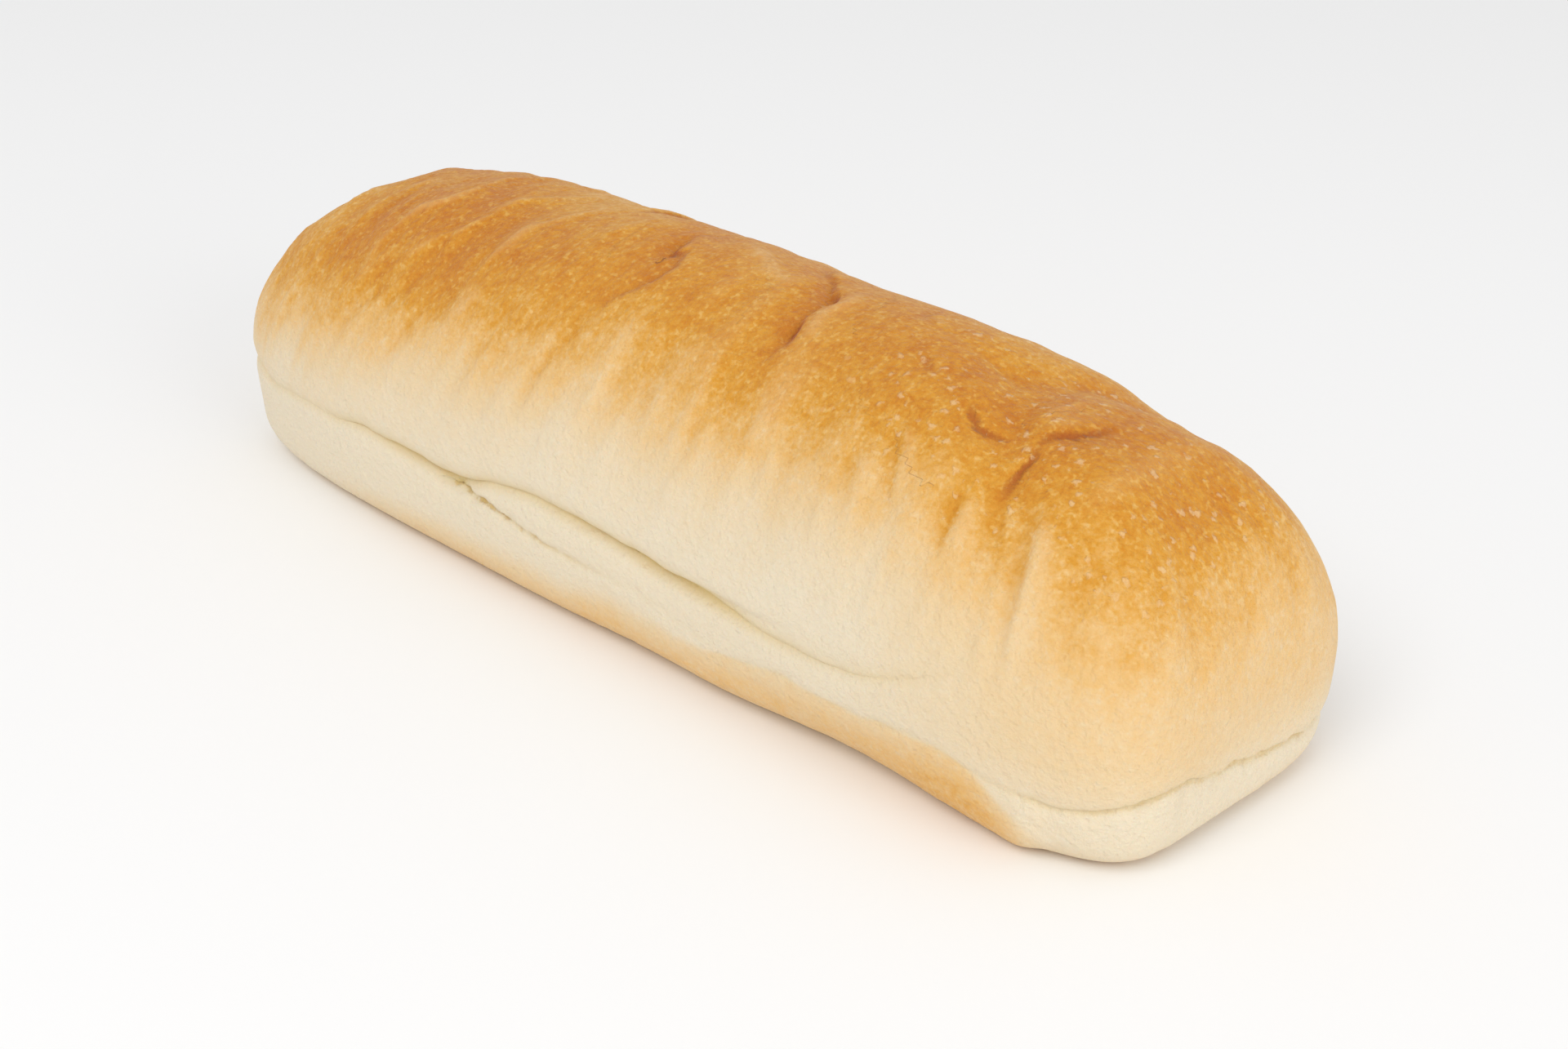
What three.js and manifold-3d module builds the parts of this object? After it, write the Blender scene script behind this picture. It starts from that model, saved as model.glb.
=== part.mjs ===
// A submarine roll: a soft white bread roll with a browned crown, baked in one piece.
//
// Millimetres, +Z up. The roll lies along X on its flat base, and the origin is the middle of
// that base. A seam runs all the way round, where the domed crown bulges over the pale lip of
// dough that sat on the baking tray.
import * as THREE from "three";
import { mergeVertices } from "three/addons/utils/BufferGeometryUtils.js";
import Module from "manifold-3d";

// Driving dimensions.
const LENGTH = 200;
const WIDTH = 65;
const HEIGHT = 55.5;

// The outline seen from above: a long rounded rectangle, widest at the girth.
const HALF_LENGTH = LENGTH / 2;
const HALF_WIDTH = WIDTH / 2;
const OUTLINE_POWER = 5.4;
const RIDGE_HALF_LENGTH = 0.68 * HALF_LENGTH;
const RIDGE_DROP = 0.1; // share of the height lost at each end of the ridge

// The cross-section: a dome above the girth, a rolled-under edge below it.
const GIRTH_HEIGHT = 17;
const DOME_POWER = 1.95;
const UNDER_POWER = 2.3;
const UNDER_DEPTH = GIRTH_HEIGHT + 1.6; // the dough's own round bottom, before it is pressed flat
const UNDER_INSET = 10.5; // how far the round bottom reaches in from the girth
const UNDER_BOW = 3.5; // extra inset where the sides bow in, and its place and spread along the roll
const UNDER_BOW_PLACE = 0.4;
const UNDER_BOW_SPREAD = 0.3;
const SHOULDER_ANGLE = 0.5; // radians up the dome where the sides hand over to the crown

// The seam.
const SEAM_HEIGHT = 20;
const SEAM_HEIGHT_NEAR_END = 13;
const SEAM_STEP_PLACE = 69; // where along the roll the seam steps down to the near end's level
const SEAM_STEP_REACH = 11;
const SEAM_DEPTH = 1.7;
const SEAM_FADE = 0.9;
const SEAM_FADE_SPREAD = 9;
const LOBE_WIDTH = 5; // how far above the seam the crown's rolled edge reaches
const LIP_WIDTH = 3.4;

// Grid cells along, across and up the block that is shaped into the roll.
const CELLS_LONG = 64;
const CELLS_WIDE = 20;
const CELLS_HIGH = 14;
const SEAM_ROW = 0.5; // share of the side rows that lie below the seam
const ROWS_CROWD_BELOW = 1.25; // how strongly the rows crowd towards the seam, below and above it
const ROWS_CROWD_ABOVE = 1.3;
const BASE_TAPER = 0.9; // how far the hidden base grid draws in along the roll

// Folds in the crown's skin, each crossing the ridge: place, lean, width and depth in mm, and the
// side of the ridge that it is deepest on.
const FOLDS = [
  { x: -76, lean: 0.25, width: 5, depth: 0.7, y: -8 },
  { x: -61, lean: 0.2, width: 4, depth: 0.5, y: -16 },
  { x: -48, lean: -0.1, width: 5, depth: 0.6, y: 6 },
  { x: -6, lean: 0.25, width: 4.5, depth: 1.3, y: -8 },
  { x: 26, lean: 0.3, width: 4.5, depth: 1.4, y: -6 },
  { x: 47, lean: -0.2, width: 6, depth: 0.6, y: 12 },
  { x: 71, lean: 0.5, width: 5, depth: 1.3, y: -9 },
];
const FOLD_REACH = 17; // how far along its length a fold fades out
const FOLD_START_HEIGHT = 25; // folds die out down the sides between these heights
const FOLD_FULL_HEIGHT = 45;

const clamp01 = (t) => Math.min(1, Math.max(0, t));
const smooth = (from, to, t) => THREE.MathUtils.smoothstep(t, from, to);
const signedPower = (base, power) => Math.max(base, 0) ** power;

// Outline point for a place (u, v) on the edge of the square from -1 to 1.
function outline(u, v) {
  const norm = (Math.abs(u) ** OUTLINE_POWER + Math.abs(v) ** OUTLINE_POWER) ** (1 / OUTLINE_POWER);
  return new THREE.Vector2(HALF_LENGTH * u, HALF_WIDTH * v).divideScalar(norm || 1);
}

function ridgeHeight(u) {
  return HEIGHT * (1 - RIDGE_DROP * u * u);
}

// How far the edge is rolled under: a little further where the sides bow in.
function underInset(u) {
  return UNDER_INSET + UNDER_BOW * Math.exp(-(((u - UNDER_BOW_PLACE) / UNDER_BOW_SPREAD) ** 2));
}

// The seam sits lower across the near end than along the sides and the far end.
function seamHeight(x) {
  const step = smooth(SEAM_STEP_PLACE - SEAM_STEP_REACH, SEAM_STEP_PLACE + SEAM_STEP_REACH, x);
  return THREE.MathUtils.lerp(SEAM_HEIGHT, SEAM_HEIGHT_NEAR_END, step);
}

// The seam fades where its two levels meet.
function seamDepth(x) {
  const fade = Math.exp(-(((x - SEAM_STEP_PLACE) / SEAM_FADE_SPREAD) ** 2));
  return SEAM_DEPTH * (1 - SEAM_FADE * fade);
}

// One meridian's section at an angle: positive angles are above the girth, negative below it.
function section(angle, top, inset) {
  if (angle >= 0) {
    return {
      z: GIRTH_HEIGHT + (top - GIRTH_HEIGHT) * signedPower(Math.sin(angle), 2 / DOME_POWER),
      inward: null,
      share: signedPower(Math.cos(angle), 2 / DOME_POWER),
    };
  }
  return {
    z: GIRTH_HEIGHT - UNDER_DEPTH * signedPower(Math.sin(-angle), 2 / UNDER_POWER),
    inward: inset * (1 - signedPower(Math.cos(angle), 2 / UNDER_POWER)),
    share: null,
  };
}

// The section angle at which the surface reaches height z.
function angleAtHeight(z, top) {
  if (z >= GIRTH_HEIGHT) {
    return Math.asin(((z - GIRTH_HEIGHT) / (top - GIRTH_HEIGHT)) ** (DOME_POWER / 2));
  }
  return -Math.asin(((GIRTH_HEIGHT - z) / UNDER_DEPTH) ** (UNDER_POWER / 2));
}

// How deep the surface is drawn in beside the seam, as a share: one at the seam, none a width away.
function rolledEdge(distance, width) {
  const t = clamp01(distance / width);
  return 1 - Math.sqrt(1 - (1 - t) ** 2);
}

// How far the crown's skin dips at a place, from all the folds.
function foldDip(x, y) {
  let dip = 0;
  for (const fold of FOLDS) {
    const across = (x - fold.x - fold.lean * y) / fold.width;
    const along = (y - fold.y) / FOLD_REACH;
    dip += fold.depth * Math.exp(-across * across - along * along);
  }
  return dip;
}

// A place on the roll's skin: (u, v) on the square's edge says which meridian, angle how far up it.
function skinPoint(u, v, angle) {
  const edge = outline(u, v);
  const ridge = new THREE.Vector2(RIDGE_HALF_LENGTH * u, 0);
  const top = ridgeHeight(u);
  const { z, inward, share } = section(angle, top, underInset(u));
  const reach = edge.distanceTo(ridge) || 1;
  const seam = seamHeight(edge.x);
  const width = z > seam ? LOBE_WIDTH : LIP_WIDTH;
  const drawnIn = seamDepth(edge.x) * rolledEdge(Math.abs(z - seam), width);
  const kept = (share ?? 1 - inward / reach) - drawnIn / reach;
  const place = ridge.lerp(edge, kept);
  const dip = foldDip(place.x, place.y) * smooth(FOLD_START_HEIGHT, FOLD_FULL_HEIGHT, z);
  return new THREE.Vector3(place.x, place.y, z - dip);
}

// The angle of side row t, from 0 at the base to 1 at the shoulder, with one row on the seam.
function sideAngle(t, x, top) {
  const seamAngle = angleAtHeight(seamHeight(x), top);
  if (t <= SEAM_ROW) {
    const below = 1 - t / SEAM_ROW;
    return THREE.MathUtils.lerp(seamAngle, -Math.PI / 2, below ** ROWS_CROWD_BELOW);
  }
  const above = (t - SEAM_ROW) / (1 - SEAM_ROW);
  return THREE.MathUtils.lerp(seamAngle, SHOULDER_ANGLE, above ** ROWS_CROWD_ABOVE);
}

// Where a vertex of the block, with all coordinates from -1 to 1, lands on the skin.
function shaped(vertex) {
  const onTop = vertex.z > 1 - 1e-6;
  const onBottom = vertex.z < -1 + 1e-6;
  const i = (vertex.x * CELLS_LONG) / 2;
  const j = (vertex.y * CELLS_WIDE) / 2;
  const rings = CELLS_WIDE / 2;
  const ring = Math.min(CELLS_LONG / 2 - Math.abs(i), rings - Math.abs(j));
  const u = i / Math.max(CELLS_LONG / 2 - ring, 1);
  const v = j / Math.max(rings - ring, 1);
  if (onTop) {
    const angle = THREE.MathUtils.lerp(SHOULDER_ANGLE, Math.PI / 2, ring / rings);
    return skinPoint(u, v, angle);
  }
  if (onBottom) {
    const rim = skinPoint(u, v, -Math.PI / 2);
    return rim.multiply(new THREE.Vector3(1 - (BASE_TAPER * ring) / rings, 1 - ring / rings, 1));
  }
  const top = ridgeHeight(vertex.x);
  const angle = sideAngle((vertex.z + 1) / 2, outline(vertex.x, vertex.y).x, top);
  return skinPoint(vertex.x, vertex.y, angle);
}

const wasm = await Module();
wasm.setup();

function solidFrom(geometry) {
  const bare = geometry.clone();
  bare.deleteAttribute("normal");
  bare.deleteAttribute("uv");
  const merged = mergeVertices(bare, 1e-4);
  return new wasm.Manifold(
    new wasm.Mesh({
      numProp: 3,
      vertProperties: merged.attributes.position.array,
      triVerts: new Uint32Array(merged.index.array),
    }),
  );
}

function geometryFrom(solid) {
  const mesh = solid.getMesh();
  const geometry = new THREE.BufferGeometry();
  geometry.setAttribute("position", new THREE.BufferAttribute(mesh.vertProperties, 3));
  geometry.setIndex(new THREE.BufferAttribute(mesh.triVerts, 1));
  geometry.computeVertexNormals();
  return geometry;
}

// The dough, shaped from a gridded block.
function doughGeometry() {
  const geometry = new THREE.BoxGeometry(2, 2, 2, CELLS_LONG, CELLS_WIDE, CELLS_HIGH);
  const position = geometry.attributes.position;
  const vertex = new THREE.Vector3();
  for (let k = 0; k < position.count; k += 1) {
    const place = shaped(vertex.fromBufferAttribute(position, k));
    position.setXYZ(k, place.x, place.y, place.z);
  }
  return geometry;
}

// Everything above the baking tray, which presses the base flat.
function aboveTray() {
  const room = new THREE.BoxGeometry(2 * LENGTH, 2 * WIDTH, 2 * HEIGHT);
  return room.translate(0, 0, HEIGHT);
}

const crust = new THREE.MeshStandardMaterial({ color: 0xdda75f, roughness: 0.62, metalness: 0 });

const roll = new THREE.Mesh(
  geometryFrom(solidFrom(doughGeometry()).intersect(solidFrom(aboveTray()))),
  crust,
);
roll.name = "submarine_roll";

const part = new THREE.Group();
part.add(roll);

export default part;
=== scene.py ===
import math

import bpy
import numpy as np
from mathutils import Matrix, Vector


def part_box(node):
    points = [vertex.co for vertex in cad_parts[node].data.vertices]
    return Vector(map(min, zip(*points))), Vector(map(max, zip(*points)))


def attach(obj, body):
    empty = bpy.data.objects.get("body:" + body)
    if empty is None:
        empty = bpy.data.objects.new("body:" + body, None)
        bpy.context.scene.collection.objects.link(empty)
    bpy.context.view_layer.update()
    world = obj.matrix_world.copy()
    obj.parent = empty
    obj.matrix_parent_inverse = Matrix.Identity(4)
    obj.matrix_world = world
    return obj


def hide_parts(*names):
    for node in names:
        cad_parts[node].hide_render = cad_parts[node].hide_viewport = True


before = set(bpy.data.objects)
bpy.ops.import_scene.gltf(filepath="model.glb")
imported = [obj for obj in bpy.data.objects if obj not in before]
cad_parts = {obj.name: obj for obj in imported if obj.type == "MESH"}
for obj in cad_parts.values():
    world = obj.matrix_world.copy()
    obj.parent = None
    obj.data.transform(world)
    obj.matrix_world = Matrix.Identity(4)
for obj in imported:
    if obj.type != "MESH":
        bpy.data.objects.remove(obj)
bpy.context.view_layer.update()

# A submarine roll on a pale studio floor. Shape work is in millimetres, +X along the roll towards
# the near end, -Y the front side, +Z up; it is turned into metres when the mesh is made.
# "Place" is a distance round the roll at its girth: the front side runs from -HALF_LENGTH at its
# far corner to +HALF_LENGTH at its near corner, then come the near end, the back and the far end.
# "Angle" is an angle up the dome, from 0 at the girth to 90 degrees on the ridge.
MM = 0.001
NODE = "submarine_roll"
LOW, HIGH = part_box(NODE)

HALF_LENGTH = (HIGH.x - LOW.x) / MM / 2
HALF_WIDTH = (HIGH.y - LOW.y) / MM / 2
HEIGHT = HIGH.z / MM

END_START = HALF_LENGTH
BACK_START = END_START + 2 * HALF_WIDTH
FAR_START = BACK_START + 2 * HALF_LENGTH
AROUND = FAR_START + 2 * HALF_WIDTH + HALF_LENGTH


# Places on each side, from a share of its length: -1 to 1 along X or Y.
def front(share):
    return share * HALF_LENGTH


def near_end(share):
    return END_START + (share + 1) * HALF_WIDTH


def back(share):
    return BACK_START + (1 - share) * HALF_LENGTH


def far_end(share):
    return FAR_START + (1 - share) * HALF_WIDTH


# Tools for shapes: soft steps, curves round the roll and noise.
CURVE_STEPS = 2048
LATTICE_SIZE = 48
LATTICE = np.random.default_rng(11).random((LATTICE_SIZE,) * 3)
SEED_STEP = 13.7


def smooth(low, high, value):
    """0 on the low side, 1 on the high side, and a smooth step between low and high."""
    t = np.clip((value - low) / (high - low), 0, 1)
    return t * t * (3 - 2 * t)


def window(value, rise, fall):
    """1 between two soft edges, each given as where it is 0 and where it is 1."""
    return smooth(*rise, value) * smooth(*fall, value)


def bumps(parts, at):
    """Soft bumps along a line, each as its middle, its height and how far it spreads."""
    return sum(height * np.exp(-(((at - middle) / spread) ** 2)) for middle, height, spread in parts)


def round_roll(points, place, rounding=3.0):
    """A closed curve through (place, value) points, with rounded corners, read at each place."""
    ring = np.linspace(-HALF_LENGTH, AROUND - HALF_LENGTH, CURVE_STEPS, endpoint=False)
    at, values = zip(*sorted(points))
    sharp = np.interp(ring, at, values, period=AROUND)
    waves = np.fft.rfftfreq(CURVE_STEPS, AROUND / CURVE_STEPS)
    blur = np.exp(-2 * (math.pi * rounding * waves) ** 2)
    rounded = np.fft.irfft(np.fft.rfft(sharp) * blur, CURVE_STEPS)
    return np.interp(place, ring, rounded, period=AROUND)


def noise(points, size, seed):
    """Smooth random values from -1 to 1, with bumps about size across: one number or one per axis."""
    scaled = points / np.asarray(size, float) + SEED_STEP * seed
    cell = np.floor(scaled).astype(int)
    t = scaled - cell
    t = t * t * t * (t * (t * 6 - 15) + 10)
    total = np.zeros(len(points))
    for corner in np.ndindex(2, 2, 2):
        weight = np.prod(np.where(corner, t, 1 - t), axis=1)
        at = (cell + corner) % LATTICE_SIZE
        total += weight * LATTICE[at[:, 0], at[:, 1], at[:, 2]]
    return 2 * total - 1


def ridges(points, size, seed):
    """Narrow crests between broad hollows: 1 on the crests, and below 0 in the hollows."""
    return 1 - 3.2 * np.abs(noise(points, size, seed)) ** 0.8


def layered(points, layers, kind=noise):
    """The sum of layers of noise, each as its height, the size of its bumps and its seed."""
    return sum(height * kind(points, size, seed) for height, size, seed in layers)


# The outline from above: an oblong with round corners, a little narrower towards the near end.
OUTLINE_POWER = 5.6
OUTLINE_TAPER = -0.027

# The ridge: how far it reaches along the roll, the share of the height that it loses at its ends,
# and its bumps, each as its x, its height and how far it spreads.
RIDGE_HALF_LENGTH = 0.678 * HALF_LENGTH
RIDGE_DROP = 0.10
RIDGE_BUMPS = [(-66, -0.9, 11), (-35, -1.6, 17), (12, -0.9, 16), (43, 1.2, 12), (57, -1.2, 5)]

# The cross-section: a dome above the girth, and a side below it that is drawn in towards the base,
# where it has a round rim.
GIRTH_HEIGHT = 0.306 * HEIGHT
DOME_POWER = 1.944
UNDER_INSET = 2.1
UNDER_POWER = 2.4
RIM_START = 0.6
RIM_INSET = 3.8
RIM_POWER = 3
# Where the foot is drawn in more, or less: place, how far in, and how far it spreads.
FOOT_SHIFTS = [
    (front(0.14), 1.4, 16), (front(0.57), 5.0, 22), (front(0.92), -1.3, 6), (front(1.0), 0.7, 8),
    (near_end(0.25), -1.0, 13),
]
FOOT_POWER = 2

# Mesh cells along and across, both even, and rows up the side in three bands: below the lower
# seam, between the seams, and above the upper seam. The side ends at the shoulder's angle, and the
# crown begins there.
CELLS_LONG = 300
CELLS_WIDE = 84
ROWS = (16, 16, 30)
SHOULDER_ANGLE = math.radians(32)
# How the rows crowd towards the seams, below, between and above them.
CROWD_BELOW = 1.35
CROWD_BETWEEN = 0.08
CROWD_ABOVE = 1.3


def outline(u, v):
    """The point of the outline that (u, v) on the edge of the square stands for."""
    norm = (np.abs(u) ** OUTLINE_POWER + np.abs(v) ** OUTLINE_POWER) ** (1 / OUTLINE_POWER)
    norm = np.maximum(norm, 1e-9)
    x = HALF_LENGTH * u / norm
    y = HALF_WIDTH * v / norm * (1 + OUTLINE_TAPER * u / norm)
    return x, y


def place_round(u, v):
    """The place round the roll of a point (u, v) on the edge of the square."""
    side = np.where(np.abs(v) >= np.abs(u), np.where(v < 0, front(u), back(u)), 0)
    end = np.where(np.abs(v) < np.abs(u), np.where(u > 0, near_end(v), far_end(v)), 0)
    return side + end


def ridge_height(u):
    return HEIGHT * (1 - RIDGE_DROP * u * u) + bumps(RIDGE_BUMPS, RIDGE_HALF_LENGTH * u)


def dome_height(angle, top):
    """Height of the dome at an angle up it."""
    return GIRTH_HEIGHT + (top - GIRTH_HEIGHT) * np.sin(np.clip(angle, 0, None)) ** (2 / DOME_POWER)


def dome_reach(angle):
    """How far out from the ridge the dome is at an angle up it: 1 at the girth, 0 on the ridge."""
    return np.cos(np.clip(angle, 0, math.pi / 2)) ** (2 / DOME_POWER)


def angle_at(z, top):
    """The angle at which the section reaches z; below the girth it falls from 0 to -1 at the base."""
    above = np.clip((z - GIRTH_HEIGHT) / (top - GIRTH_HEIGHT), 0, 1)
    below = np.clip((GIRTH_HEIGHT - z) / GIRTH_HEIGHT, 0, 1)
    return np.where(z >= GIRTH_HEIGHT, np.arcsin(above ** (DOME_POWER / 2)), -below)


def foot_inset(place, angle):
    """How far the side is drawn in below the girth."""
    down = np.clip(-angle, 0, 1)
    rim = np.clip((down - RIM_START) / (1 - RIM_START), 0, 1)
    drawn = UNDER_INSET * down ** UNDER_POWER + RIM_INSET * rim ** RIM_POWER
    return drawn + bumps(FOOT_SHIFTS, place) * down ** FOOT_POWER


def block():
    """The grid of a block: (u, v) on the square, the level up it, and the quads.
    Levels go from -1 to 0 across the base, 0 to 1 up the side, and 1 to 2 over the crown."""
    half_long, half_wide = CELLS_LONG // 2, CELLS_WIDE // 2
    i, j = np.meshgrid(np.arange(CELLS_LONG + 1), np.arange(CELLS_WIDE + 1), indexing="ij")
    i, j = i - half_long, j - half_wide
    ring = np.minimum(half_long - np.abs(i), half_wide - np.abs(j))
    u = i / (half_long - ring)
    v = j / np.maximum(half_wide - ring, 1)
    sheet = np.arange(i.size).reshape(i.shape)
    rim = np.concatenate([sheet[:-1, 0], sheet[-1, :-1], sheet[:0:-1, -1], sheet[0, :0:-1]])
    count, rows = sheet.size, sum(ROWS)
    us = [u.ravel(), u.ravel()] + [u.ravel()[rim]] * (rows - 1)
    vs = [v.ravel(), v.ravel()] + [v.ravel()[rim]] * (rows - 1)
    share = ring.ravel() / half_wide
    levels = [-share, 1 + share] + [np.full(len(rim), k / rows) for k in range(1, rows)]
    between = [2 * count + k * len(rim) + np.arange(len(rim)) for k in range(rows - 1)]
    loops = [rim] + between + [rim + count]
    quads = [sheet_quads(sheet)[:, ::-1], sheet_quads(sheet + count)]
    for lower, upper in zip(loops, loops[1:]):
        quads.append(np.stack([lower, np.roll(lower, -1), np.roll(upper, -1), upper], axis=1))
    return np.concatenate(us), np.concatenate(vs), np.concatenate(levels), np.concatenate(quads)


def sheet_quads(sheet):
    corners = [sheet[:-1, :-1], sheet[1:, :-1], sheet[1:, 1:], sheet[:-1, 1:]]
    return np.stack([corner.ravel() for corner in corners], axis=1)


def side_height(level, lower, upper, shoulder):
    """Height up the side: its rows follow both seams and crowd towards them."""
    total = sum(ROWS)
    first, second = ROWS[0] / total, (ROWS[0] + ROWS[1]) / total
    below = 1 - (1 - np.clip(level / first, 0, 1)) ** CROWD_BELOW
    middle = np.clip((level - first) / (second - first), 0, 1)
    middle = middle - CROWD_BETWEEN * np.sin(2 * math.pi * middle)
    above = np.clip((level - second) / (1 - second), 0, 1) ** CROWD_ABOVE
    z = lower * below
    z = np.where(level > first, lower + (upper - lower) * middle, z)
    return np.where(level > second, upper + (shoulder - upper) * above, z)


def height_and_angle(level, lower, upper, top):
    """Each vertex's height, and its angle up the dome."""
    z = side_height(np.clip(level, 0, 1), lower, upper, dome_height(SHOULDER_ANGLE, top))
    over = SHOULDER_ANGLE + (math.pi / 2 - SHOULDER_ANGLE) * np.clip(level - 1, 0, 1)
    angle = np.where(level > 1, over, angle_at(z, top))
    return np.where(level > 1, dome_height(angle, top), z), angle


# The heights of the two seams. Each line goes all the way round, and its depth is 0 where there is
# no seam. From the far end the upper seam runs along the front and fades out before the near
# corner. The lower one forks off under it at FORK, as a torn line, and runs on round the near end
# to the back, where it fades out and the upper one comes in again.
FORK = front(-0.3)
UPPER_SEAM = [
    (front(-0.93), 16.0), (front(-0.84), 16.3), (front(-0.71), 17.2), (front(-0.63), 16.8),
    (front(-0.55), 18.4), (front(-0.5), 17.9), (front(-0.45), 17.3), (front(-0.34), 16.8),
    (front(-0.3), 16.8), (front(-0.21), 19.6), (front(-0.11), 20.8), (front(-0.02), 20.8),
    (front(0.08), 19.8), (front(0.16), 18.7), (front(0.24), 18.4), (front(0.34), 17.8),
    (front(0.44), 17.4), (front(0.51), 18.0), (front(0.61), 19.0), (front(0.7), 22.1),
    (front(0.75), 25.0), (front(0.95), 23.0), (near_end(-0.5), 21.0), (near_end(0.6), 20.0),
    (back(0.8), 20.5), (back(0.4), 21.5), (back(0.0), 20.5), (back(-0.5), 18.5),
    (far_end(0.7), 17.0), (far_end(0.0), 16.2), (far_end(-0.7), 17.2), (far_end(-0.94), 17.4),
]
LOWER_SEAM = [
    (front(-1.0), 14.2), (front(-0.6), 14.4), (front(-0.4), 15.4), (front(-0.3), 16.3),
    (front(-0.27), 15.7), (front(-0.21), 15.5), (front(-0.13), 14.5), (front(-0.06), 13.9),
    (front(0.03), 13.5), (front(0.15), 13.8), (front(0.23), 12.4), (front(0.31), 10.3),
    (front(0.35), 10.8), (front(0.44), 12.8), (front(0.53), 11.9), (front(0.66), 13.3),
    (front(0.75), 13.1), (front(0.8), 11.9), (front(0.88), 11.1), (near_end(-0.99), 10.2),
    (near_end(-0.85), 10.7), (near_end(-0.78), 11.9), (near_end(-0.59), 13.0),
    (near_end(-0.43), 13.0), (near_end(-0.11), 10.7), (near_end(0.06), 9.3), (near_end(0.2), 9.2),
    (near_end(0.5), 8.1), (near_end(1.0), 9.5), (back(0.7), 12.5), (back(0.3), 14.5),
    (back(0.0), 16.0), (back(-0.5), 15.0), (far_end(0.5), 13.6), (far_end(-0.5), 13.8),
]
LEAST_SEAM_SPACE = 0.3
# How deep each seam draws the surface in.
UPPER_DEPTH = [
    (front(-1.0), 0.7), (front(-0.84), 0.6), (front(-0.7), 0.4), (front(-0.6), 0.8),
    (front(-0.5), 1.7), (front(-0.35), 2.1), (front(-0.28), 1.9), (front(-0.2), 1.1),
    (front(-0.1), 1.3), (front(0.0), 1.6), (front(0.1), 2.1), (front(0.2), 2.3),
    (front(0.3), 1.8), (front(0.42), 1.2), (front(0.55), 0.8), (front(0.7), 0.4),
    (front(0.79), 0.0), (back(0.3), 0.0), (back(0.05), 0.7), (back(-0.3), 1.4),
    (back(-0.8), 1.0), (far_end(0.5), 0.9), (far_end(-0.5), 1.1),
]
LOWER_DEPTH = [
    (front(-0.35), 0.0), (front(-0.3), 1.7), (front(-0.26), 1.0), (front(-0.22), 0.6),
    (front(-0.08), 0.55), (front(0.02), 0.3), (front(0.08), 0.1), (front(0.28), 0.1),
    (front(0.36), 0.25), (front(0.5), 0.25), (front(0.7), 0.3), (front(0.86), 0.4),
    (near_end(-0.97), 0.6), (near_end(-0.7), 0.85), (near_end(-0.4), 0.55), (near_end(0.0), 0.7),
    (near_end(0.4), 0.9), (near_end(0.9), 0.9), (back(0.7), 1.1), (back(0.2), 1.2),
    (back(-0.1), 0.5), (back(-0.3), 0.0),
]
# How sharp each seam is: 0 is a soft valley, and 1 a cut.
UPPER_CUT = [
    (front(-1.0), 0.4), (front(-0.75), 0.3), (front(-0.6), 0.2), (front(-0.5), 0.4),
    (front(-0.3), 0.6), (front(-0.22), 0.3), (front(-0.05), 0.4), (front(0.08), 0.6),
    (front(0.2), 0.6), (front(0.3), 0.4), (front(0.6), 0.3), (back(0.2), 0.5), (back(-0.8), 0.6),
]
LOWER_CUT = [
    (front(-0.35), 0.9), (front(-0.26), 0.7), (front(-0.2), 0.35), (front(-0.05), 0.35),
    (front(0.05), 0.2), (front(0.3), 0.0), (front(0.75), 0.0), (front(0.9), 0.3),
    (near_end(-1.0), 0.65), (near_end(-0.7), 0.85), (near_end(0.8), 0.8), (back(0.6), 0.5),
    (back(-0.2), 0.5),
]
LEAST_CUT = 0.05

# The stretches where the lower seam is torn, and where it is rough, as soft edges for window(), and
# how torn it is where it is rough.
TORN = ((FORK - 3, FORK + 1), (front(0.06), front(-0.26)))
ROUGH = ((near_end(-1.0), near_end(-0.7)), (back(0.9), near_end(0.9)))
ROUGH_TEAR = 0.35
# How the seams wander up and down, in layers of noise. The ragged layer is the lower seam's: it has
# a least strength, and more of it where the seam is torn or rough.
UPPER_WANDER = [(0.3, 11, 3), (0.1, 3, 4)]
LOWER_WANDER = [(0.25, 9, 1)]
RAGGED_WANDER = [(1.0, 2.3, 2)]
RAGGED_LEAST = 0.15
RAGGED_MORE = 0.45
# How each seam's depth varies, as a share of it, and how its sharpness does.
UPPER_DEPTH_CHANGE = [(0.25, 6, 5)]
LOWER_DEPTH_CHANGE = [(0.35, 3, 6)]
UPPER_CUT_CHANGE = [(0.25, 5, 7)]
LOWER_CUT_CHANGE = [(0.45, 2.6, 8)]

# The form of each seam: how far it draws the surface in above and below its line, and, as shares of
# its depth, how far the skin under it stands back, how much its bottom is lifted, and how much the
# skin over it hangs down, most at hang_at above the line.
UPPER_FORM = {"above": 6.0, "below": 3.4, "back": 0.5, "lift": 0.35, "hang": 0.3, "hang_at": 1.2}
LOWER_FORM = {"above": 3.4, "below": 2.8, "back": 0.4, "lift": 0.25, "hang": 0.2, "hang_at": 0.9}
# Beyond this many times hang_at above its line, the overhang gets no less.
HANG_END = 8
# The width of a soft valley, as a share of its reach.
VALLEY_WIDTH = 0.34
# The step back under a seam: half its width at a cut, how much more at a soft seam, and how soon
# it dies away below.
STEP_CUT = 0.1
STEP_SOFT = 1.1
STEP_REACH = 5

# Painted shade in each seam's bottom, a darker olive in its crease: its strength for each mm of depth,
# and how far it reaches.
UPPER_SEAM_SHADE = {"strength": 0.42, "above": 1.5, "below": 0.8}
LOWER_SEAM_SHADE = {"strength": 0.5, "above": 0.7, "below": 0.5}
SEAM_SHADE_POWER = 1.5
MOST_SEAM_SHADE = 0.85


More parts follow.
